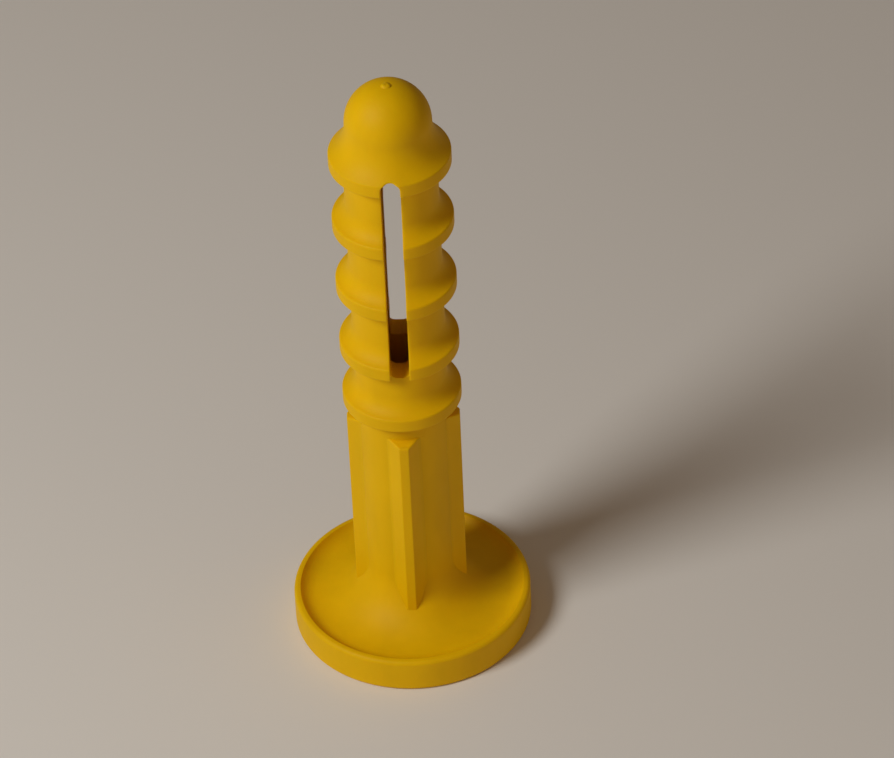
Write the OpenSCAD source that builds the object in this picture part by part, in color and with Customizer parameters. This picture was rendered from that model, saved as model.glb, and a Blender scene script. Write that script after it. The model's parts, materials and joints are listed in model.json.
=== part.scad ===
// Slotted wall plug with a wide washer head, moulded in one shot.
// The zones of the moulding that bend or do a job of their own are separate bodies here.
// Z runs from the head's outer face to the nose; the slot opens to the front and back (Y),
// and the two legs beside it lie to the left and right (X).

/* [Head] */
// Diameter of the washer head
head_d = 22.6; // [18:0.1:30]
// Height of the head's outer wall
head_h = 3.5; // [2.5:0.1:6]
// Height of the lowest point of the dished side above the outer face
dish_floor = 2.7; // [2:0.1:4]
// Radius of the sweep from the dish up to the sleeve
dish_sweep = 5; // [2:0.1:5.5]
// Radius of the sweep from the dish up to the rim
rim_sweep = 1.7; // [1:0.1:2]
// Edge round on the head's outer wall
head_round = 0.4; // [0.1:0.1:0.8]
// Depth of the recess in the outer face
recess_depth = 0.8; // [0.4:0.1:1]
// Width of the flat lip that is left around the recess
lip_w = 0.6; // [0.3:0.1:1.5]
// Slope run of the recess wall
recess_slope = 0.6; // [0.2:0.1:1]

/* [Face bars] */
// Groups of raised bars around the outer face
bar_groups = 3; // [1:1:4]
// Bars in a group
bars_per_group = 7; // [3:1:9]
// Angle from one bar to the next, in degrees
bar_step = 11; // [6:1:13]
// Distance of the bars' middles from the axis
bar_ring_r = 8; // [5:0.1:8.3]
// Radial length of a bar
bar_len = 1.7; // [0.5:0.1:2.5]
// Width of a bar
bar_w = 0.55; // [0.2:0.05:0.8]
// Height of a bar above the recess floor
bar_h = 0.35; // [0.1:0.05:0.4]

/* [Sleeve and bore] */
// Outer diameter of the sleeve and the legs
sleeve_d = 8.5; // [7:0.1:9.5]
// Diameter of the screw bore
bore_d = 4.2; // [3:0.1:5]

/* [Anti-turn ribs] */
// Size across two opposite ribs
rib_across = 10.5; // [10:0.1:11]
// Width of a rib at the sleeve's surface
rib_root_w = 2.8; // [1.5:0.1:3.5]
// Width of a rib at its crest
rib_crest_w = 0.85; // [0.4:0.05:1.4]
// Clear length between the ribs' ends and the collar barb
rib_to_barb = 1.9; // [0.5:0.1:5]

/* [Barbs] */
// Diameter over the barbs
barb_d = 11; // [10:0.1:12]
// Height of a barb's outer band
barb_band = 0.85; // [0.4:0.05:1.2]
// Distance from one split barb to the next
barb_pitch = 7; // [6:0.1:9]
// Distance from the lowest split barb down to the collar barb
collar_pitch = 6; // [5.5:0.1:9]

/* [Nose] */
// Length from the outer face to the top of the dome
overall_len = 62.4; // [60:0.1:80]
// Diameter of the dome
nose_d = 7.84; // [6:0.01:8.4]
// Height of the bell between the dome and the brim's band
bell_h = 3.65; // [3:0.05:5]
// Depth of closed plastic left below the dome's widest point
bore_cap = 2; // [0.5:0.1:2.2]
// Diameter of the gate mark on top of the dome
gate_d = 1.1; // [0.5:0.1:2]
// Height of the gate mark above the dome
gate_h = 0.2; // [0.1:0.05:0.5]

/* [Slot and bending lines] */
// Width of the slot between the legs
slot_w = 1.75; // [1:0.05:2.5]
// Distance from the lowest split barb down to the slot's floor
slot_below = 0.5; // [0.3:0.1:1]
// Height of the slot's arch above the brim's underside
slot_above = 1.6; // [1.2:0.1:2]
// Distance of each leg's bending lines from the axis
bend_x = 2.3; // [1.8:0.1:2.8]
// Gap left at each bending line, so that the rigid lengths can turn
bend_gap = 0.3; // [0.25:0.01:0.4]

/* [Hidden] */

plastic = "#D9AC12";
gate_tint = "#C49A0C";
curve_fn = 96;
round_fn = 48;
cut = 0.5;
left = -1;
right = 1;

head_r = head_d / 2;
sleeve_r = sleeve_d / 2;
bore_r = bore_d / 2;
barb_r = barb_d / 2;
rib_r = rib_across / 2;
nose_r = nose_d / 2;

dome_z = overall_len - nose_r;
brim_z = dome_z - bell_h - barb_band;
high_barb_z = brim_z - barb_pitch;
mid_barb_z = high_barb_z - barb_pitch;
low_barb_z = mid_barb_z - barb_pitch;
collar_z = low_barb_z - collar_pitch;
slot_floor = low_barb_z - slot_below;
slot_top = brim_z + slot_above;
bore_top = dome_z - bore_cap;
rib_top = collar_z - rib_to_barb;

// The legs bend at the slot's floor, half way up, and just below the brim.
root_z = slot_floor + bend_gap / 2;
tip_z = brim_z - bend_gap / 2;
knee_z = (root_z + tip_z) / 2;

// A flare ends where the leg bends, so that no barb crosses a bending line.
barb_flare = knee_z - bend_gap / 2 - mid_barb_z - barb_band;

dish_r = sleeve_r + dish_sweep;
dish_top = dish_floor + dish_sweep;

// Radius of the hollow arc that leaves a vertical line and gains dr over a height h.
function sweep_radius(dr, h) = (dr * dr + h * h) / (2 * dr);

// Half outline of a collar that stands on z = 0: a band, then a hollow flare up to the core.
module flared_outline(core_r, outer_r, band, flare) {
    arc_r = sweep_radius(outer_r - core_r, flare);
    difference() {
        square([outer_r, band + flare]);
        translate([core_r + arc_r, band + flare]) circle(r = arc_r, $fn = curve_fn);
    }
}

// A corner cut that leaves a quarter round of radius r; the outer corner is at the origin.
module round_off(r) {
    difference() {
        translate([-r, -r]) square([r + cut, r + cut]);
        translate([-r, -r]) circle(r = r, $fn = round_fn);
    }
}

// Half outline of the head with its dished side, without the bore and the recess.
module head_outline() {
    difference() {
        union() {
            square([head_r, head_h]);
            square([dish_r, dish_top]);
        }
        intersection() {
            translate([dish_r, dish_top]) circle(r = dish_sweep, $fn = curve_fn);
            square([dish_r, dish_top]);
        }
        translate([dish_r, dish_floor + rim_sweep]) circle(r = rim_sweep, $fn = curve_fn);
        translate([head_r, head_h]) round_off(head_round);
        translate([head_r, 0]) mirror([0, 1]) round_off(head_round);
    }
}

module head_body() {
    rotate_extrude($fn = curve_fn) head_outline();
}

// Tube wall between the bore and the sleeve's surface.
module tube_wall(low_z, high_z) {
    translate([0, 0, low_z]) difference() {
        cylinder(h = high_z - low_z, r = sleeve_r, $fn = curve_fn);
        translate([0, 0, -cut]) cylinder(h = high_z - low_z + 2 * cut, r = bore_r, $fn = curve_fn);
    }
}

// Keeps what lies on one side of the slot.
module beside_slot(side, low_z, high_z) {
    reach = barb_r + cut;
    intersection() {
        children();
        translate([side > 0 ? slot_w / 2 : -slot_w / 2 - reach, -reach, low_z])
            cube([reach, 2 * reach, high_z - low_z]);
    }
}

module leg_part(side, low_z, high_z) {
    color(plastic) beside_slot(side, low_z, high_z) tube_wall(low_z, high_z);
}

// Ring around the core between the sleeve's surface and the barb's outline.
module barb_ring(base_z) {
    translate([0, 0, base_z]) difference() {
        rotate_extrude($fn = curve_fn) flared_outline(sleeve_r, barb_r, barb_band, barb_flare);
        translate([0, 0, -cut])
            cylinder(h = barb_band + barb_flare + 2 * cut, r = sleeve_r, $fn = curve_fn);
    }
}

module split_barb(side, base_z) {
    color(plastic) beside_slot(side, base_z, base_z + barb_band + barb_flare) barb_ring(base_z);
}

// Round washer head with the bore's mouth in a shallow recess.
module head_disc() {
    color(plastic) difference() {
        head_body();
        translate([0, 0, -cut]) cylinder(h = dish_top + 2 * cut, r = bore_r, $fn = curve_fn);
        recess_r = head_r - head_round - lip_w;
        cylinder(h = recess_depth, r1 = recess_r, r2 = recess_r - recess_slope, $fn = curve_fn);
    }
}

// Raised bars on the recess floor, in place of any marking.
module face_bars() {
    group_angle = 360 / bar_groups;
    first = -bar_step * (bars_per_group - 1) / 2;
    color(plastic)
        for (group = [0:bar_groups - 1], bar = [0:bars_per_group - 1])
            rotate(group * group_angle + first + bar * bar_step)
                translate([bar_ring_r - bar_len / 2, -bar_w / 2, recess_depth - bar_h])
                    cube([bar_len, bar_w, bar_h]);
}

// Plain tube from the head's sweep up to the slot's floor.
module sleeve() {
    color(plastic) tube_wall(dish_top, slot_floor);
}

// Longitudinal rib that keeps the plug from turning in its hole; angle 0 is the front.
module rib(angle) {
    color(plastic) difference() {
        rotate(angle) translate([0, 0, dish_floor]) linear_extrude(rib_top - dish_floor)
            polygon([
                [-rib_root_w / 2, 0], [-rib_root_w / 2, -sleeve_r],
                [-rib_crest_w / 2, -rib_r], [rib_crest_w / 2, -rib_r],
                [rib_root_w / 2, -sleeve_r], [rib_root_w / 2, 0]
            ]);
        cylinder(h = rib_top + cut, r = sleeve_r, $fn = curve_fn);
        head_body();
    }
}

// Whole barb on the sleeve, below the slot.
module collar_barb() {
    color(plastic) barb_ring(collar_z);
}

// Brim barb and bell at the foot of the nose, with the slot's arch and the bore's blind end.
module nose_bell() {
    color(plastic) difference() {
        translate([0, 0, brim_z]) rotate_extrude($fn = curve_fn)
            flared_outline(nose_r, barb_r, barb_band, bell_h);
        translate([0, 0, brim_z - cut])
            cylinder(h = bore_top - brim_z + cut, r = bore_r, $fn = curve_fn);
        translate([-slot_w / 2, -barb_r - cut, brim_z - cut])
            cube([slot_w, barb_d + 2 * cut, slot_above - slot_w / 2 + cut]);
        translate([0, barb_r + cut, slot_top - slot_w / 2]) rotate([90, 0, 0])
            cylinder(h = barb_d + 2 * cut, d = slot_w, $fn = round_fn);
    }
}

// Closed half-ball end.
module nose_dome() {
    color(plastic) intersection() {
        translate([0, 0, dome_z]) sphere(r = nose_r, $fn = curve_fn);
        translate([0, 0, dome_z]) cylinder(h = nose_r, r = nose_r + cut, $fn = curve_fn);
    }
}

// Trace of the runner that fed the mould.
module gate_mark() {
    color(gate_tint) difference() {
        translate([0, 0, overall_len - cut]) cylinder(h = cut + gate_h, d = gate_d, $fn = round_fn);
        translate([0, 0, dome_z]) sphere(r = nose_r, $fn = curve_fn);
    }
}

head_disc();
face_bars();
sleeve();
rib(0);  // rib_front
rib(90);  // rib_right
rib(180);  // rib_back
rib(270);  // rib_left
collar_barb();
leg_part(left, slot_floor + bend_gap, knee_z - bend_gap / 2);  // left_leg_lower
leg_part(left, knee_z + bend_gap / 2, brim_z - bend_gap);  // left_leg_upper
leg_part(right, slot_floor + bend_gap, knee_z - bend_gap / 2);  // right_leg_lower
leg_part(right, knee_z + bend_gap / 2, brim_z - bend_gap);  // right_leg_upper
split_barb(left, low_barb_z);  // left_barb_low
split_barb(left, mid_barb_z);  // left_barb_mid
split_barb(left, high_barb_z);  // left_barb_high
split_barb(right, low_barb_z);  // right_barb_low
split_barb(right, mid_barb_z);  // right_barb_mid
split_barb(right, high_barb_z);  // right_barb_high
nose_bell();
nose_dome();
gate_mark();
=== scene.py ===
import json
import math

import bmesh
import bpy
from mathutils import Euler, Matrix, Vector


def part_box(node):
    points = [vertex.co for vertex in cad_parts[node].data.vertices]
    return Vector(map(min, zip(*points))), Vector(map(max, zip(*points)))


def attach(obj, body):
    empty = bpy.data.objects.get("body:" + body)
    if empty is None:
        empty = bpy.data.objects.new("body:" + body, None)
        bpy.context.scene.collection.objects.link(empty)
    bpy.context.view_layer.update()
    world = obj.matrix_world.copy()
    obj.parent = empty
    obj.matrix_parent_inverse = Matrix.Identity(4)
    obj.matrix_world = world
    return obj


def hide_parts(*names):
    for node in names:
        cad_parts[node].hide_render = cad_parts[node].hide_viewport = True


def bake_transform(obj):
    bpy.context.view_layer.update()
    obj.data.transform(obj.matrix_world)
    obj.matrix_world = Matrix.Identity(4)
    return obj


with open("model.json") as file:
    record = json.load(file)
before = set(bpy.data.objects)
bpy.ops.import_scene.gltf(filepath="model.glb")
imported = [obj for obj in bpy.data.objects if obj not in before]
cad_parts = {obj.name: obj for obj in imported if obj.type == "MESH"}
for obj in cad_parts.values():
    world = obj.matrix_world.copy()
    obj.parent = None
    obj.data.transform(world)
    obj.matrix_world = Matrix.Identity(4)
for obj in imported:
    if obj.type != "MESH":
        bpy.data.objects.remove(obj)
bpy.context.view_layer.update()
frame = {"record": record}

# ---------------------------------------------------------------------------
# Plastic
# The whole plug is one shot of low-density polyethylene, coloured through with yellow
# pigment. A vapour-blasted tool leaves the wall satin, with faint flow marks in the tint.
# ---------------------------------------------------------------------------
MM = 0.001


def add_node(tree, kind, inputs=None, **settings):
    """Adds one node: settings are its properties, and inputs are values or sockets to link."""
    node = tree.nodes.new(kind)
    for name, value in settings.items():
        setattr(node, name, value)
    for socket, value in (inputs or {}).items():
        if isinstance(value, bpy.types.NodeSocket):
            tree.links.new(value, node.inputs[socket])
        else:
            node.inputs[socket].default_value = value
    return node


def linear(hex_colour):
    """sRGB hex to the linear colour that a shader takes."""
    channels = [int(hex_colour[i : i + 2], 16) / 255 for i in (1, 3, 5)]
    return [c / 12.92 if c <= 0.04045 else ((c + 0.055) / 1.055) ** 2.4 for c in channels] + [1.0]


def per_metre(size_mm):
    """Texture scale that gives a pattern this size in millimetres."""
    return 1 / (size_mm * MM)


def moulded_polyethylene(name, roughness, swirl_mm, flow_scale, grain_mm, grain_depth_mm):
    """Satin yellow polyethylene with the tool's grain pressed into its skin."""
    material = bpy.data.materials.new(name)
    material.use_nodes = True
    tree = material.node_tree
    tree.nodes.clear()
    place = add_node(tree, "ShaderNodeTexCoord").outputs["Object"]

    # Pigment swirls a few millimetres long, drawn out along the flow from the gate
    along_flow = add_node(
        tree, "ShaderNodeMapping", {"Vector": place, "Scale": (1, 1, flow_scale)}
    ).outputs["Vector"]
    swirl = add_node(
        tree,
        "ShaderNodeTexNoise",
        {"Vector": along_flow, "Scale": per_metre(swirl_mm), "Detail": 3.0, "Roughness": 0.55},
    ).outputs["Fac"]
    tint = add_node(tree, "ShaderNodeValToRGB", {"Fac": swirl})
    tint.color_ramp.elements[0].position = 0.32
    tint.color_ramp.elements[0].color = linear("#E8B700")
    tint.color_ramp.elements[1].position = 0.72
    tint.color_ramp.elements[1].color = linear("#F2BF00")

    # Blasted grain, pressed in by the steel. Real grain is under 0.1 mm across and wouldn't
    # show at this size, so it is drawn coarser.
    grain = add_node(
        tree,
        "ShaderNodeTexNoise",
        {"Vector": place, "Scale": per_metre(grain_mm), "Detail": 2.0},
    ).outputs["Fac"]
    skin = add_node(
        tree,
        "ShaderNodeBump",
        {"Height": grain, "Distance": grain_depth_mm * MM, "Strength": 1.0},
    ).outputs["Normal"]
    shader = add_node(
        tree,
        "ShaderNodeBsdfPrincipled",
        {
            "Base Color": tint.outputs["Color"],
            "Roughness": roughness,
            "IOR": 1.51,
            "Specular IOR Level": 0.12,
            "Subsurface Weight": 0.15,
            "Subsurface Scale": MM,
            "Subsurface Radius": (1.0, 0.6, 0.1),
            "Normal": skin,
        },
    )
    add_node(tree, "ShaderNodeOutputMaterial", {"Surface": shader.outputs["BSDF"]})
    return material


satin_polyethylene = moulded_polyethylene(
    "moulded polyethylene, satin",
    roughness=0.55,
    swirl_mm=3.5,
    flow_scale=0.35,
    grain_mm=0.25,
    grain_depth_mm=0.004,
)

# ---------------------------------------------------------------------------
# Shank
# Washer head, sleeve and the one whole barb below the slot. They were turned as one cavity in
# the tool, so they are one round form here, with a dished head and a recess in its outer face.
# ---------------------------------------------------------------------------
head_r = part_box("head_disc")[1].x / MM
dish_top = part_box("head_disc")[1].z / MM
sleeve_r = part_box("sleeve")[1].x / MM
slot_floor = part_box("sleeve")[1].z / MM
barb_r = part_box("collar_barb")[1].x / MM
collar_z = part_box("collar_barb")[0].z / MM
flare_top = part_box("collar_barb")[1].z / MM - collar_z
bore_r = next(
    m["dims"]["r_mm"] for m in frame["record"]["mounts"] if m["name"] == "screw_bore"
)

head_h = 3.5
dish_floor = 2.7
dish_sweep = dish_top - dish_floor
rim_sweep = 1.7
head_round = 0.4
recess_depth = 0.8
recess_slope = 0.6
recess_fillet = 0.25
recess_edge = 0.12
lip_w = 0.6
barb_band = 1.35
tool_round = 0.18
band_round = 0.22
moulded_fillet = 0.15
turned_segments = 192
flare_steps = 14
rim_steps = 10
sweep_steps = 28
weld = 0.002


def arc(centre, radius, start, end, steps):
    """Points (r, z) on an arc; angles in degrees, 0 outwards and 90 upwards."""
    turns = [math.radians(start + (end - start) * i / steps) for i in range(steps + 1)]
    return [(centre[0] + radius * math.cos(t), centre[1] + radius * math.sin(t)) for t in turns]


def soften(corners, closed=False, steps=6, guard=0.06):
    """Outline through corners (r, z) or (r, z, round), with each round as an arc.

    A guard point beside each arc keeps the flat next to it shaded flat.
    """
    outline = []
    count = len(corners)
    for i, corner in enumerate(corners):
        here = Vector(corner[:2])
        radius = corner[2] if len(corner) > 2 else 0
        inside = closed or 0 < i < count - 1
        if not radius or not inside:
            outline.append(here)
            continue
        to_last = Vector(corners[i - 1][:2]) - here
        to_next = Vector(corners[(i + 1) % count][:2]) - here
        opening = to_last.angle(to_next)
        tangent = radius / math.tan(opening / 2)
        middle = here + (to_last.normalized() + to_next.normalized()).normalized() * (
            radius / math.sin(opening / 2)
        )
        first = here + to_last.normalized() * tangent - middle
        last = here + to_next.normalized() * tangent - middle
        sweep = first.angle_signed(last)
        if to_last.length > tangent + 4 * guard:
            outline.append(middle + first + to_last.normalized() * guard)
        for k in range(steps + 1):
            turn = -sweep * k / steps
            outline.append(middle + Matrix.Rotation(turn, 2) @ first)
        if to_next.length > tangent + 4 * guard:
            outline.append(middle + last + to_next.normalized() * guard)
    return [(p[0], p[1]) for p in outline]


def hollow_flare(core_r, outer_r, base_z, height, steps):
    """The hollow arc from a barb's band in to its core, which it meets upright."""
    reach = outer_r - core_r
    radius = (reach * reach + height * height) / (2 * reach)
    start = 180 + math.degrees(math.asin(height / radius))
    return arc((core_r + radius, base_z + height), radius, start, 180, steps)


def barb_outline(base_z, core_r, flare_z):
    """One barb from its flat underside to the top of its flare."""
    flare = hollow_flare(core_r, barb_r, base_z + barb_band, flare_z - barb_band, flare_steps)
    return [
        (barb_r, base_z, tool_round),
        (barb_r, base_z + barb_band, band_round),
        *flare[1:],
    ]


def outline_mesh(name, outline):
    """A mesh that holds an outline's points in the XZ plane."""
    mesh = bpy.data.meshes.new(name)
    mesh.from_pydata([(r * MM, 0, z * MM) for r, z in outline], [], [])
    return mesh


def turning_tree():
    """Sweeps a closed outline round the Z axis, as a round cavity is turned in a tool."""
    tree = bpy.data.node_groups.new("turned moulding", "GeometryNodeTree")
    for name, kind in (
        ("Geometry", "NodeSocketGeometry"),
        ("Segments", "NodeSocketInt"),
        ("Material", "NodeSocketMaterial"),
    ):
        tree.interface.new_socket(name, in_out="INPUT", socket_type=kind)
    tree.interface.new_socket("Geometry", in_out="OUTPUT", socket_type="NodeSocketGeometry")
    given = add_node(tree, "NodeGroupInput").outputs
    points = add_node(
        tree, "GeometryNodeAttributeDomainSize", {"Geometry": given["Geometry"]}
    ).outputs["Point Count"]
    rows = add_node(tree, "ShaderNodeMath", {0: points, 1: 1.0}, operation="ADD").outputs[0]
    columns = add_node(
        tree, "ShaderNodeMath", {0: given["Segments"], 1: 1.0}, operation="ADD"
    ).outputs[0]
    sheet = add_node(
        tree, "GeometryNodeMeshGrid", {"Vertices X": rows, "Vertices Y": columns}
    )
    across = add_node(tree, "ShaderNodeSeparateXYZ", {0: sheet.outputs["UV Map"]}).outputs
    row = add_node(tree, "ShaderNodeMath", {0: across["X"], 1: points}, operation="MULTIPLY")
    nearest = add_node(tree, "ShaderNodeMath", {0: row.outputs[0]}, operation="ROUND")
    wrapped = add_node(
        tree, "ShaderNodeMath", {0: nearest.outputs[0], 1: points}, operation="MODULO"
    )
    place = add_node(tree, "GeometryNodeInputPosition").outputs[0]
    sample = add_node(
        tree,
        "GeometryNodeSampleIndex",
        data_type="FLOAT_VECTOR",
        domain="POINT",
    )
    tree.links.new(given["Geometry"], sample.inputs["Geometry"])
    tree.links.new(place, next(s for s in sample.inputs if s.name == "Value" and s.enabled))
    tree.links.new(wrapped.outputs[0], sample.inputs["Index"])
    sampled = next(s for s in sample.outputs if s.enabled)
    angle = add_node(
        tree, "ShaderNodeMath", {0: across["Y"], 1: 2 * math.pi}, operation="MULTIPLY"
    ).outputs[0]
    turned = add_node(
        tree,
        "ShaderNodeVectorRotate",
        {"Vector": sampled, "Angle": angle},
        rotation_type="Z_AXIS",
    ).outputs[0]
    swept = add_node(
        tree,
        "GeometryNodeSetPosition",
        {"Geometry": sheet.outputs["Mesh"], "Position": turned},
    ).outputs[0]
    welded = add_node(
        tree, "GeometryNodeMergeByDistance", {"Geometry": swept, "Distance": weld * MM}
    ).outputs[0]
    finish_tree(tree, welded, given["Material"])
    return tree


def finish_tree(tree, geometry, material):
    """Ends a tree: smooth, real mesh, in its material."""
    smooth = add_node(tree, "GeometryNodeSetShadeSmooth", {"Geometry": geometry}).outputs[0]
    real = add_node(tree, "GeometryNodeRealizeInstances", {"Geometry": smooth}).outputs[0]
    dressed = add_node(
        tree, "GeometryNodeSetMaterial", {"Geometry": real, "Material": material}
    ).outputs[0]
    add_node(tree, "NodeGroupOutput", {"Geometry": dressed})


def run_tree(tree, values, mesh=None):
    """Runs a tree with its named inputs set, and returns the plain mesh that it makes."""
    carrier = bpy.data.objects.new(tree.name, mesh or bpy.data.meshes.new(tree.name))
    bpy.context.scene.collection.objects.link(carrier)
    modifier = carrier.modifiers.new(tree.name, "NODES")
    modifier.node_group = tree
    for item in tree.interface.items_tree:
        if item.in_out == "INPUT" and item.name in values:
            modifier[item.identifier] = values[item.name]
    evaluated = carrier.evaluated_get(bpy.context.evaluated_depsgraph_get())
    made = bpy.data.meshes.new_from_object(evaluated)
    carrier.modifiers.remove(modifier)
    bpy.data.objects.remove(carrier)
    return made


def finished_piece(name, mesh, crease=35, doubles=0.0005, slivers=0.0002):
    """An object at the origin, with its faces outwards and its corners past crease kept crisp."""
    form = bmesh.new()
    form.from_mesh(mesh)
    bmesh.ops.remove_doubles(form, verts=form.verts, dist=doubles * MM)
    stray = [e for e in form.edges if not e.link_faces]
    bmesh.ops.delete(form, geom=stray, context="EDGES")
    bmesh.ops.dissolve_degenerate(form, dist=slivers * MM, edges=form.edges)
    if form.calc_volume(signed=True) < 0:
        bmesh.ops.reverse_faces(form, faces=form.faces)
    form.to_mesh(mesh)
    form.free()
    mesh.name = name
    mesh.shade_smooth()
    mesh.set_sharp_from_angle(angle=math.radians(crease))
    piece = bpy.data.objects.new(name, mesh)
    bpy.context.scene.collection.objects.link(piece)
    return piece


recess_r = head_r - head_round - lip_w
rim_lip = dish_floor + rim_sweep - head_h
rim_end = 270 + math.degrees(math.acos(rim_lip / rim_sweep))
rim_arc = arc((sleeve_r + dish_sweep, dish_floor + rim_sweep), rim_sweep, rim_end, 270, rim_steps)
shank_outline = soften(
    [
        (bore_r, recess_depth, tool_round),
        (recess_r - recess_slope, recess_depth, recess_fillet),
        (recess_r, 0, recess_edge),
        (head_r, 0, head_round),
        (head_r, head_h, head_round),
        *rim_arc,
        *arc((sleeve_r + dish_sweep, dish_top), dish_sweep, 270, 180, sweep_steps)[1:],
        (sleeve_r, collar_z, moulded_fillet),
        *barb_outline(collar_z, sleeve_r, flare_top),
        (sleeve_r, slot_floor),
        (bore_r, slot_floor),
    ],
    closed=True,
)
turning = turning_tree()
shank = finished_piece(
    "shank",
    run_tree(
        turning,
        {"Segments": turned_segments, "Material": satin_polyethylene},
        outline_mesh("shank outline", shank_outline),
    ),
)
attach(shank, "shank")
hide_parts("head_disc", "sleeve", "collar_barb")

# ---------------------------------------------------------------------------
# Anti-turn ribs
# Four tapered ribs on the sleeve keep the plug from turning in its hole. They are cut into the
# same tool halves, so their feet run out in the head's sweep and their tops are a little sloped.
# ---------------------------------------------------------------------------
rib_r = -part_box("rib_front")[0].y / MM
rib_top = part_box("rib_front")[1].z / MM
rib_root_w = 2.8
rib_crest_w = 0.85
rib_foot_z = dish_floor + 1.2
rib_fillet = 0.35
rib_round = 0.14
rib_top_slope = 0.35
rib_skirt_out = 0.45
rib_skirt_in = 0.55
rib_bend_out = 0.05
rib_bend_in = 0.1


def edge_normals(path, closed=False):
    """Unit normals to the right of an outline's run, which is outwards if it runs round left."""
    normals = []
    for i, here in enumerate(path):
        last = path[i - 1] if closed or i else here
        after = path[(i + 1) % len(path)] if closed or i < len(path) - 1 else here
        along = Vector((after[0] - last[0], after[1] - last[1])).normalized()
        normals.append(Vector((along.y, -along.x)))
    return normals


def raised_form(name, section, low, high, edge, slope=0.0, steps=4):
    """A low form that stands on its section, with a rounded top that falls away from the axis.

    A guard ring on each side of the round keeps the side and the top shaded flat.
    """
    side_guard, top_guard = 0.06, 0.05
    form = bmesh.new()
    normals = edge_normals(section, closed=True)
    levels = [(low, 0.0), (high - edge - side_guard, 0.0)] + [
        (
            high - edge * (1 - math.sin(math.radians(90 * k / steps))),
            edge * (1 - math.cos(math.radians(90 * k / steps))),
        )
        for k in range(steps + 1)
    ]
    levels.append((high, edge + top_guard))
    rings = []
    for level, inset in levels:
        ring = []
        for (x, y), normal in zip(section, normals):
            px, py = x - inset * normal.x, y - inset * normal.y
            fall = slope * max(0.0, -py - sleeve_r) if level > low else 0.0
            ring.append(form.verts.new((px * MM, py * MM, (level - fall) * MM)))
        rings.append(ring)
    count = len(section)
    for below, above in zip(rings, rings[1:]):
        for i in range(count):
            j = (i + 1) % count
            form.faces.new((below[i], below[j], above[j], above[i]))
    form.faces.new(rings[-1])
    form.faces.new(list(reversed(rings[0])))
    mesh = bpy.data.meshes.new(name)
    form.to_mesh(mesh)
    form.free()
    return mesh


def ring_tree():
    """Sets copies of a form round the Z axis, in even groups with an angle step in each."""
    tree = bpy.data.node_groups.new("set round the axis", "GeometryNodeTree")
    for name, kind in (
        ("Geometry", "NodeSocketGeometry"),
        ("Groups", "NodeSocketInt"),
        ("Copies", "NodeSocketInt"),
        ("Step", "NodeSocketFloat"),
        ("Material", "NodeSocketMaterial"),
    ):
        tree.interface.new_socket(name, in_out="INPUT", socket_type=kind)
    tree.interface.new_socket("Geometry", in_out="OUTPUT", socket_type="NodeSocketGeometry")
    given = add_node(tree, "NodeGroupInput").outputs

    total = add_node(
        tree, "ShaderNodeMath", {0: given["Groups"], 1: given["Copies"]}, operation="MULTIPLY"
    ).outputs[0]
    seats = add_node(
        tree, "GeometryNodeMeshLine", {"Count": total, "Offset": (0, 0, 0)}
    ).outputs["Mesh"]
    index = add_node(tree, "GeometryNodeInputIndex").outputs[0]

    # Which group a copy is in, and that group's angle
    share = add_node(
        tree, "ShaderNodeMath", {0: index, 1: given["Copies"]}, operation="DIVIDE"
    ).outputs[0]
    group = add_node(tree, "ShaderNodeMath", {0: share}, operation="FLOOR").outputs[0]
    turned = add_node(
        tree, "ShaderNodeMath", {0: group, 1: 2 * math.pi}, operation="MULTIPLY"
    ).outputs[0]
    group_angle = add_node(
        tree, "ShaderNodeMath", {0: turned, 1: given["Groups"]}, operation="DIVIDE"
    ).outputs[0]

    # Its place within the group, counted from the group's middle
    within = add_node(
        tree, "ShaderNodeMath", {0: index, 1: given["Copies"]}, operation="MODULO"
    ).outputs[0]
    last = add_node(
        tree, "ShaderNodeMath", {0: given["Copies"], 1: 1.0}, operation="SUBTRACT"
    ).outputs[0]
    middle = add_node(tree, "ShaderNodeMath", {0: last, 1: 2.0}, operation="DIVIDE").outputs[0]
    along = add_node(
        tree, "ShaderNodeMath", {0: within, 1: middle}, operation="SUBTRACT"
    ).outputs[0]
    own_angle = add_node(
        tree, "ShaderNodeMath", {0: along, 1: given["Step"]}, operation="MULTIPLY"
    ).outputs[0]
    angle = add_node(
        tree, "ShaderNodeMath", {0: group_angle, 1: own_angle}, operation="ADD"
    ).outputs[0]
    turn = add_node(tree, "ShaderNodeCombineXYZ", {"Z": angle}).outputs[0]
    copies = add_node(
        tree,
        "GeometryNodeInstanceOnPoints",
        {"Points": seats, "Instance": given["Geometry"], "Rotation": turn},
    ).outputs[0]
    finish_tree(tree, copies, given["Material"])
    return tree


# From the skirt, buried in the sleeve, round the fillet at the root and up to the crest
rib_side = [
    (-rib_root_w / 2 - rib_skirt_out, -sleeve_r + rib_skirt_in),
    (-rib_root_w / 2 + rib_bend_out, -sleeve_r + rib_bend_in, rib_fillet),
    (-rib_crest_w / 2, -rib_r, rib_round),
]
rib_section = soften(rib_side + [(-x, y, *rest) for x, y, *rest in reversed(rib_side)])
setting = ring_tree()
ribs = finished_piece(
    "anti_turn_ribs",
    run_tree(
        setting,
        {"Groups": 4, "Copies": 1, "Step": 0.0, "Material": satin_polyethylene},
        raised_form("rib", rib_section, rib_foot_z, rib_top, rib_round, rib_top_slope),
    ),
)
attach(ribs, "shank")
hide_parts("rib_front", "rib_right", "rib_back", "rib_left")

# ---------------------------------------------------------------------------
# Face bars
# Plain raised bars in the head's recess, sunk in the tool's face by the engraver. They stand
# no higher than the lip round the recess, so the head still sits flat.
# ---------------------------------------------------------------------------
bar_groups = 3
bars_per_group = 7
bar_step = math.radians(11)
bar_ring_r = 8.0
bar_len = 1.7
bar_w = 0.55
bar_corner = 0.15
bar_edge = 0.1
bar_sunk = 0.1
bar_h = recess_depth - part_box("face_bars")[0].z / MM


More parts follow.
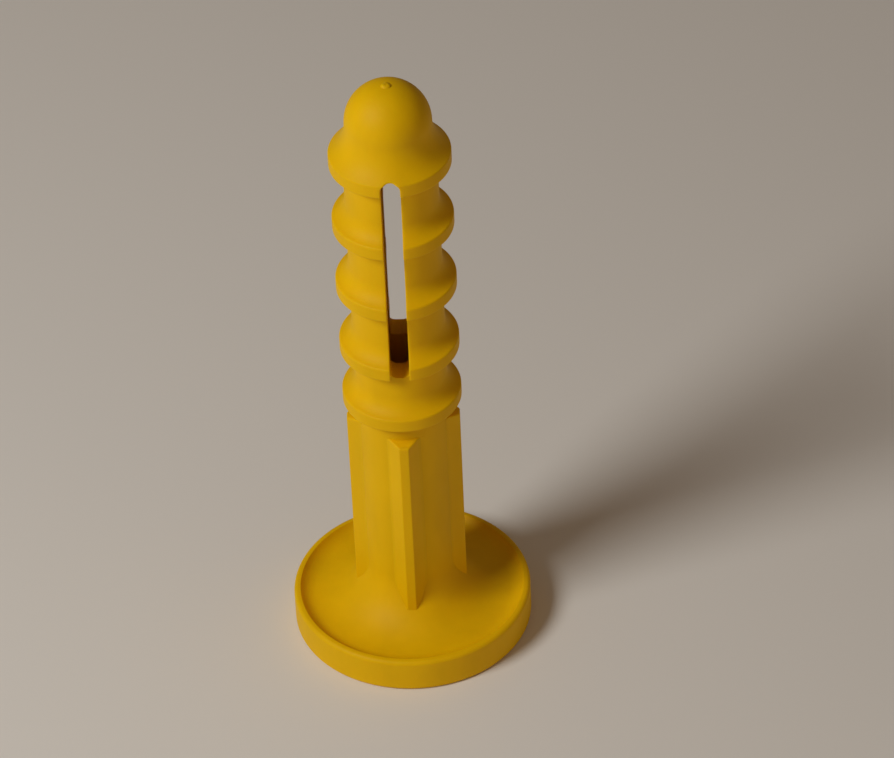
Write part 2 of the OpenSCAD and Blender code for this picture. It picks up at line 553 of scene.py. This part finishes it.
def bar_section():
    """The bar seen from below, drawn on the front's side of the axis."""
    half_l, half_w = bar_len / 2, bar_w / 2
    corners = [
        (-half_w, -bar_ring_r - half_l, bar_corner),
        (half_w, -bar_ring_r - half_l, bar_corner),
        (half_w, -bar_ring_r + half_l, bar_corner),
        (-half_w, -bar_ring_r + half_l, bar_corner),
    ]
    return soften(corners, closed=True, steps=4)


bar = raised_form(
    "bar", bar_section(), -recess_depth - bar_sunk, bar_h - recess_depth, bar_edge
)
bar.transform(Euler((0, 0, math.pi / 2)).to_matrix().to_4x4() @ Matrix.Scale(-1, 4, (0, 0, 1)))
face_bars = finished_piece(
    "raised_bars",
    run_tree(
        setting,
        {
            "Groups": bar_groups,
            "Copies": bars_per_group,
            "Step": bar_step,
            "Material": satin_polyethylene,
        },
        bar,
    ),
)
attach(face_bars, "shank")
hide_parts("face_bars")

# ---------------------------------------------------------------------------
# Legs
# The slot parts the sleeve into two legs with half barbs, which bow out as the screw goes in.
# Each length from one barb to the next is the same form.
# ---------------------------------------------------------------------------
low_barb_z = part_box("left_barb_low")[0].z / MM
barb_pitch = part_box("left_barb_mid")[0].z / MM - low_barb_z
slot_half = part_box("right_leg_lower")[0].x / MM
leg_rows = 3
leg_seam_r = sleeve_r + moulded_fillet
slot_round = 0.1
slot_guard = 0.03
floor_reach = 0.8
foot_h = low_barb_z - slot_floor
foot_steps = 12
fillet_guard = 0.3


def leg_form(name, outer, bore, slot_at, columns=36, steps=4):
    """The wall on the right of the slot, between an outer outline and the bore's.

    Both outlines run round left. The edges along the slot are rounded.
    """
    form = bmesh.new()
    rows = []
    for path in (outer, bore):
        for (r, z), normal in zip(path, edge_normals(path)):
            half = slot_at(z)
            widest = math.acos((half + slot_round) / r)
            middle = [
                (r * math.cos(t), r * math.sin(t), z)
                for t in (widest * (2 * k / columns - 1) for k in range(columns + 1))
            ]
            corner = []
            for k in range(1, steps + 2):
                turn = math.radians(min(90, 90 * k / steps))
                depth = slot_round * (1 - math.cos(turn)) + (slot_guard if k > steps else 0)
                x = half + slot_round * (1 - math.sin(turn))
                inner_r = r - depth * normal.x
                y = math.sqrt(inner_r * inner_r - x * x)
                corner.append((x, y, z - depth * normal.y))
            row = [(x, -y, zz) for x, y, zz in reversed(corner)] + middle + corner
            rows.append([form.verts.new(Vector(p) * MM) for p in row])
    for i, row in enumerate(rows):
        after = rows[(i + 1) % len(rows)]
        for j in range(len(row) - 1):
            form.faces.new((row[j], row[j + 1], after[j + 1], after[j]))
    if len(outer) == len(bore):
        wall = list(zip(rows[: len(outer)], reversed(rows[len(outer) :])))
        for (a, d), (b, c) in zip(wall, wall[1:]):
            form.faces.new((a[0], b[0], c[0], d[0]))
            form.faces.new((d[-1], c[-1], b[-1], a[-1]))
    else:
        form.faces.new([row[0] for row in rows])
        form.faces.new([row[-1] for row in reversed(rows)])
    mesh = bpy.data.meshes.new(name)
    form.to_mesh(mesh)
    form.free()
    return mesh


def stack_tree():
    """Stacks a half form in rows on both sides of the slot, and numbers the copies."""
    tree = bpy.data.node_groups.new("barb stack", "GeometryNodeTree")
    for name, kind in (
        ("Geometry", "NodeSocketGeometry"),
        ("Rows", "NodeSocketInt"),
        ("Pitch", "NodeSocketFloat"),
        ("First Height", "NodeSocketFloat"),
        ("Material", "NodeSocketMaterial"),
    ):
        tree.interface.new_socket(name, in_out="INPUT", socket_type=kind)
    tree.interface.new_socket("Geometry", in_out="OUTPUT", socket_type="NodeSocketGeometry")
    given = add_node(tree, "NodeGroupInput").outputs

    count = add_node(
        tree, "ShaderNodeMath", {0: given["Rows"], 1: 2.0}, operation="MULTIPLY"
    ).outputs[0]
    seats = add_node(
        tree, "GeometryNodeMeshLine", {"Count": count, "Offset": (0, 0, 0)}
    ).outputs["Mesh"]
    index = add_node(tree, "GeometryNodeInputIndex").outputs[0]
    half = add_node(tree, "ShaderNodeMath", {0: index, 1: 2.0}, operation="DIVIDE").outputs[0]
    row = add_node(tree, "ShaderNodeMath", {0: half}, operation="FLOOR").outputs[0]
    climb = add_node(
        tree, "ShaderNodeMath", {0: row, 1: given["Pitch"]}, operation="MULTIPLY"
    ).outputs[0]
    height = add_node(
        tree, "ShaderNodeMath", {0: climb, 1: given["First Height"]}, operation="ADD"
    ).outputs[0]
    side = add_node(tree, "ShaderNodeMath", {0: index, 1: 2.0}, operation="MODULO").outputs[0]
    side_turn = add_node(
        tree, "ShaderNodeMath", {0: side, 1: math.pi}, operation="MULTIPLY"
    ).outputs[0]
    place = add_node(tree, "ShaderNodeCombineXYZ", {"Z": height}).outputs[0]
    turn = add_node(tree, "ShaderNodeCombineXYZ", {"Z": side_turn}).outputs[0]
    raised = add_node(
        tree, "GeometryNodeSetPosition", {"Geometry": seats, "Position": place}
    ).outputs[0]
    numbered = add_node(
        tree,
        "GeometryNodeStoreNamedAttribute",
        data_type="INT",
        domain="POINT",
    )
    tree.links.new(raised, numbered.inputs["Geometry"])
    numbered.inputs["Name"].default_value = "copy"
    tree.links.new(index, next(s for s in numbered.inputs if s.name == "Value" and s.enabled))
    copies = add_node(
        tree,
        "GeometryNodeInstanceOnPoints",
        {
            "Points": numbered.outputs["Geometry"],
            "Instance": given["Geometry"],
            "Rotation": turn,
        },
    ).outputs[0]
    finish_tree(tree, copies, given["Material"])
    return tree


def one_copy(stack, number):
    """The faces of one numbered copy in a stack, as a mesh of its own."""
    form = bmesh.new()
    form.from_mesh(stack)
    layer = form.verts.layers.int["copy"]
    others = [v for v in form.verts if v[layer] != number]
    bmesh.ops.delete(form, geom=others, context="VERTS")
    mesh = bpy.data.meshes.new("copy")
    for material in stack.materials:
        mesh.materials.append(material)
    form.to_mesh(mesh)
    form.free()
    return mesh


def straight_slot(z):
    """The slot's half width between its straight walls, the same at every height."""
    return slot_half


unit_outer = soften(
    [
        (leg_seam_r, 0),
        *barb_outline(0, sleeve_r, flare_top),
        (sleeve_r, barb_pitch - moulded_fillet - fillet_guard),
        (sleeve_r, barb_pitch, moulded_fillet),
        (leg_seam_r, barb_pitch),
    ]
)
bore_rise = [(bore_r, barb_pitch), (bore_r, 0)]
unit = leg_form("barbed length", unit_outer, bore_rise, straight_slot)
stack = run_tree(
    stack_tree(),
    {
        "Rows": leg_rows,
        "Pitch": barb_pitch * MM,
        "First Height": low_barb_z * MM,
        "Material": satin_polyethylene,
    },
    unit,
)
leg_bodies = {
    "right": ("shank", "right_lower", "right_upper"),
    "left": ("shank", "left_lower", "left_upper", "nose"),
}
for side_number, side in enumerate(("right", "left")):
    bodies = leg_bodies[side]
    for row, height in enumerate(("low", "mid", "high")):
        length = one_copy(stack, 2 * row + side_number)
        piece = finished_piece(f"{side}_leg_{height}", length)
        if row + 1 < len(bodies):
            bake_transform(piece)
        else:
            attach(piece, bodies[row])
        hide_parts(f"{side}_barb_{height}")
        if height != "mid":
            level = "lower" if height == "low" else "upper"
            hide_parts(f"{side}_leg_{level}")


def floor_slot(z):
    """The slot's half width at its round floor, which runs up into each leg."""
    below = max(0.0, 1 - (z - slot_floor) / foot_h)
    return slot_half - floor_reach * (1 - math.sqrt(1 - below**2))


foot_levels = [
    foot_h * (1 - math.cos(math.radians(90 * k / foot_steps))) for k in range(foot_steps + 1)
]
foot_outer = soften(
    [(sleeve_r, slot_floor + h) for h in foot_levels if h < foot_h - moulded_fillet]
    + [(sleeve_r, low_barb_z, moulded_fillet), (leg_seam_r, low_barb_z)]
)
foot_bore = [(bore_r, z) for r, z in reversed(foot_outer)]
feet = finished_piece(
    "leg_feet",
    run_tree(
        stack_tree(),
        {"Rows": 1, "Pitch": 0.0, "First Height": 0.0, "Material": satin_polyethylene},
        leg_form("foot", foot_outer, foot_bore, floor_slot),
    ),
)
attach(feet, "shank")

# ---------------------------------------------------------------------------
# Nose
# A brim barb and bell under a closed round end that finds the hole. The slot ends in an arch cut
# through the brim, and the bore ends blind above it. On top is the scar where the gate tore off.
# ---------------------------------------------------------------------------
brim_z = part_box("nose_bell")[0].z / MM
dome_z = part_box("nose_dome")[0].z / MM
nose_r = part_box("nose_dome")[1].x / MM
slot_above = 1.6
bore_cap = 2.0
arch_z = brim_z + slot_above - slot_half
bore_top = dome_z - bore_cap
nose_columns = 60
arch_steps = 14
edge_steps = 4
dome_steps = 24
bell_steps = 24


def with_heights(path, heights):
    """The path with points added where it rises through these heights."""
    out = []
    for here, after in zip(path, path[1:]):
        out.append(here)
        rise = after[1] - here[1]
        for height in sorted(heights):
            if rise > 1e-6 and here[1] + 1e-4 < height < after[1] - 1e-4:
                share = (height - here[1]) / rise
                out.append((here[0] + share * (after[0] - here[0]), height))
    return out + [path[-1]]


def nose_mesh():
    """The right half of the nose and its mirror: outer wall, arched slot, bore and its end."""
    dome = arc((0, dome_z), nose_r, 0, 90, dome_steps)
    bell_h = dome_z - brim_z - barb_band
    bell = hollow_flare(nose_r, barb_r, brim_z + barb_band, bell_h, bell_steps)
    rim_r = slot_half + slot_round
    arch_turns = [math.radians(90 * k / arch_steps) for k in range(arch_steps + 1)]
    path = with_heights(
        soften(
            [
                (bore_r, brim_z),
                (barb_r, brim_z, tool_round),
                (barb_r, brim_z + barb_band, band_round),
                *bell[1:],
                *dome[1:],
            ]
        ),
        [arch_z + rim_r * math.sin(t) for t in arch_turns],
    )
    normals = edge_normals(path)

    def on_path(height):
        """Where the outer wall is at a height above the brim's edge, and its normal."""
        for (a, na), (b, nb) in zip(zip(path, normals), zip(path[1:], normals[1:])):
            if a[1] <= height <= b[1] and b[1] - a[1] > 1e-9:
                share = (height - a[1]) / (b[1] - a[1])
                return a[0] + share * (b[0] - a[0]), na.lerp(nb, share)
        raise ValueError(height)

    form = bmesh.new()

    def point(x, y, z):
        """A new corner at a place in millimetres."""
        return form.verts.new((x * MM, y * MM, z * MM))

    def sheet(rows):
        """Four-sided faces between each row of corners and the next."""
        for below, above in zip(rows, rows[1:]):
            for j in range(len(below) - 1):
                form.faces.new((below[j], below[j + 1], above[j + 1], above[j]))

    def band(r, z, half, columns=nose_columns):
        """A row of points round the right side, from the slot's front edge to its back edge."""
        widest = math.acos(min(1, half / r)) if r > 1e-6 else math.pi / 2
        turns = [widest * (2 * k / columns - 1) for k in range(columns + 1)]
        return [point(r * math.cos(t), r * math.sin(t), z) for t in turns]

    def half_at(z, radius):
        """The half width at a height of an arched opening with this half width."""
        if z <= arch_z:
            return radius
        return math.sqrt(max(0.0, radius**2 - (z - arch_z) ** 2))

    # Outer wall
    sheet([band(r, z, half_at(z, rim_r)) for r, z in path])

    # Rounded edge of the slot and its wall, front and back
    for facing in (-1, 1):
        edge_rows = []
        for (r, z), normal in zip(path, normals):
            if z > arch_z + rim_r + 1e-6:
                break
            turn = math.asin(min(1.0, max(0.0, (z - arch_z) / rim_r)))
            row = []
            for k in range(edge_steps + 1):
                roll = math.radians(90 * k / edge_steps)
                radius = rim_r - slot_round * math.sin(roll)
                depth = slot_round * (1 - math.cos(roll))
                at_r, at_z, out = r, z, normal
                if z > arch_z:
                    at_z = arch_z + radius * math.sin(turn)
                    at_r, out = on_path(at_z)
                x = radius * math.cos(turn)
                inner_r = at_r - depth * out.x
                y = math.sqrt(max(0.0, inner_r**2 - x * x))
                row.append((x, facing * y, at_z - depth * out.y, turn))
            edge_rows.append(row)
        sheet([[point(*p[:3]) for p in row] for row in edge_rows])
        flat = [row[-1] for row in edge_rows if row[-1][3] == 0.0]
        bore_y = facing * math.sqrt(bore_r**2 - slot_half**2)
        top_flat = (slot_half, flat[-1][1], arch_z)
        wall = [p[:3] for p in flat]
        if abs(flat[-1][2] - arch_z) > 1e-6:
            wall.append(top_flat)
        form.faces.new([point(*p) for p in wall + [(slot_half, bore_y, arch_z)]])
        arched = [row[-1] for row in edge_rows if row[-1][3] > 0.0]
        rows = []
        for x, y, z, turn in [(*wall[-1], 0.0)] + arched:
            end_y = facing * math.sqrt(bore_r**2 - x * x)
            end_z = arch_z + slot_half * math.sin(turn)
            rows.append([point(x, y, z), point(x, end_y, end_z)])
        sheet(rows)

    # Bore, from the brim's underside to its blind end
    bore_rows = []
    for k in range(edge_steps + 1):
        roll = math.radians(90 * k / edge_steps)
        rise = slot_round * (1 - math.cos(roll))
        bore_rows.append((brim_z + rise, rim_r - slot_round * math.sin(roll)))
    over_arch = [(z - arch_z) / rim_r for r, z in path if arch_z < z < arch_z + rim_r + 1e-6]
    bore_rows += [
        (arch_z + slot_half * share, slot_half * math.sqrt(max(0.0, 1 - share**2)))
        for share in [0.0] + [min(1.0, share) for share in over_arch]
    ]
    bore_rows.append((bore_top, 0.0))
    sheet([band(bore_r, z, half) for z, half in bore_rows])
    sheet([band(bore_r, bore_top, 0.0), band(0.0, bore_top, 0.0)])

    bmesh.ops.remove_doubles(form, verts=form.verts, dist=weld * MM)
    twin = bmesh.ops.duplicate(form, geom=form.verts[:] + form.edges[:] + form.faces[:])
    for v in twin["geom"]:
        if isinstance(v, bmesh.types.BMVert):
            v.co.x = -v.co.x
    bmesh.ops.remove_doubles(form, verts=form.verts, dist=weld * MM)
    bmesh.ops.recalc_face_normals(form, faces=form.faces)
    mesh = bpy.data.meshes.new("nose")
    form.to_mesh(mesh)
    form.free()
    mesh.materials.append(satin_polyethylene)
    return mesh


nose = finished_piece("nose", nose_mesh())
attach(nose, "nose")
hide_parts("nose_bell", "nose_dome")

gate_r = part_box("gate_mark")[1].x / MM
gate_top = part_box("gate_mark")[1].z / MM
gate_sunk = 0.6
gate_side_h = 0.3
gate_side_round = 0.12
gate_torn_h = 0.35
gate_tear = 0.08
gate_lean = 0.6
gate_ripple = 0.5
gate_segments = 32
# Up the stub's side, over its torn shoulder and in to a small hollow in the middle
gate_outline = soften(
    [
        (0, gate_top - gate_sunk),
        (gate_r, gate_top - gate_sunk),
        (gate_r, gate_top - gate_side_h, gate_side_round),
        (gate_r * 0.72, gate_top - 0.06, 0.15),
        (gate_r * 0.4, gate_top, 0.3),
        (0, gate_top - 0.05),
    ]
)
gate_mesh = run_tree(
    turning,
    {"Segments": gate_segments, "Material": satin_polyethylene},
    outline_mesh("gate outline", gate_outline),
)
# It tore off unevenly, and is lowest on the right towards the back
for v in gate_mesh.vertices:
    torn = max(0.0, v.co.z / MM - gate_top + gate_torn_h) / gate_torn_h
    away = math.atan2(v.co.y, v.co.x)
    reach = v.co.xy.length / (gate_r * MM)
    wave = 1 + math.sin(away + gate_lean) + gate_ripple * math.sin(3 * away)
    v.co.z -= torn * reach * gate_tear * wave * MM
gate_scar = finished_piece("gate_scar", gate_mesh)
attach(gate_scar, "nose")
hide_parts("gate_mark")

# ---------------------------------------------------------------------------
# Camera, light and floor
# A pale warm table top under one soft lamp at the front left. A small warm card low on the
# right and a weak fill all round lift the shaded side.
# ---------------------------------------------------------------------------
camera = bpy.data.objects.new("camera", bpy.data.cameras.new("camera"))
bpy.context.scene.collection.objects.link(camera)
camera.data.sensor_width = 36
camera.data.lens = 189.87
camera.data.clip_start = 0.01
camera.location = (0.00872, -0.33299, 0.30766)
camera_turn = math.radians(0.78)
camera_tilt = math.radians(50.04)
camera_roll = math.radians(-2.58)
camera.rotation_euler = (
    Matrix.Rotation(camera_turn, 3, "Z")
    @ Matrix.Rotation(camera_tilt, 3, "X")
    @ Matrix.Rotation(camera_roll, 3, "Z")
).to_euler()
bpy.context.scene.camera = camera
bpy.context.scene.view_settings.view_transform = "Standard"

lamp = bpy.data.objects.new("soft lamp", bpy.data.lights.new("soft lamp", "AREA"))
bpy.context.scene.collection.objects.link(lamp)
lamp.data.shape = "DISK"
lamp.data.size = 0.15
lamp.data.energy = 0.92
lamp.data.color = (1.0, 1.0, 0.94)
lamp_turn = math.radians(-57)
lamp_rise = math.radians(41)
lamp_away = 0.40
lamp_aim = Vector((0, 0, 0.03))
lamp.location = lamp_away * Vector(
    (
        math.sin(lamp_turn) * math.cos(lamp_rise),
        -math.cos(lamp_turn) * math.cos(lamp_rise),
        math.sin(lamp_rise),
    )
) + lamp_aim
lamp.rotation_euler = (lamp_aim - lamp.location).to_track_quat("-Z", "Y").to_euler()

card = bpy.data.objects.new("warm card", bpy.data.lights.new("warm card", "AREA"))
bpy.context.scene.collection.objects.link(card)
card.data.shape = "SQUARE"
card.data.size = 0.06
card.data.energy = 0.003
card.data.color = (1.0, 0.72, 0.35)
card.data.spread = math.radians(80)
card.location = (0.10, -0.085, 0.02)
card_aim = Vector((0, 0, 0.035))
card.rotation_euler = (card_aim - card.location).to_track_quat("-Z", "Y").to_euler()

world = bpy.data.worlds.new("room")
bpy.context.scene.world = world
world.use_nodes = True
room = world.node_tree.nodes["Background"].inputs
room["Color"].default_value = linear("#FFE2C3")
room["Strength"].default_value = 0.14

table = bpy.data.materials.new("table top, matt lacquer")
table.use_nodes = True
top_shader = table.node_tree.nodes["Principled BSDF"].inputs
top_shader["Base Color"].default_value = linear("#EBE7E5")
top_shader["Roughness"].default_value = 0.85
floor_half = 3
floor_corners = [(-1, -1), (1, -1), (1, 1), (-1, 1)]
floor_mesh = bpy.data.meshes.new("floor")
floor_mesh.from_pydata(
    [(x * floor_half, y * floor_half, 0) for x, y in floor_corners], [], [(0, 1, 2, 3)]
)
floor_mesh.materials.append(table)
floor = bpy.data.objects.new("floor", floor_mesh)
bpy.context.scene.collection.objects.link(floor)
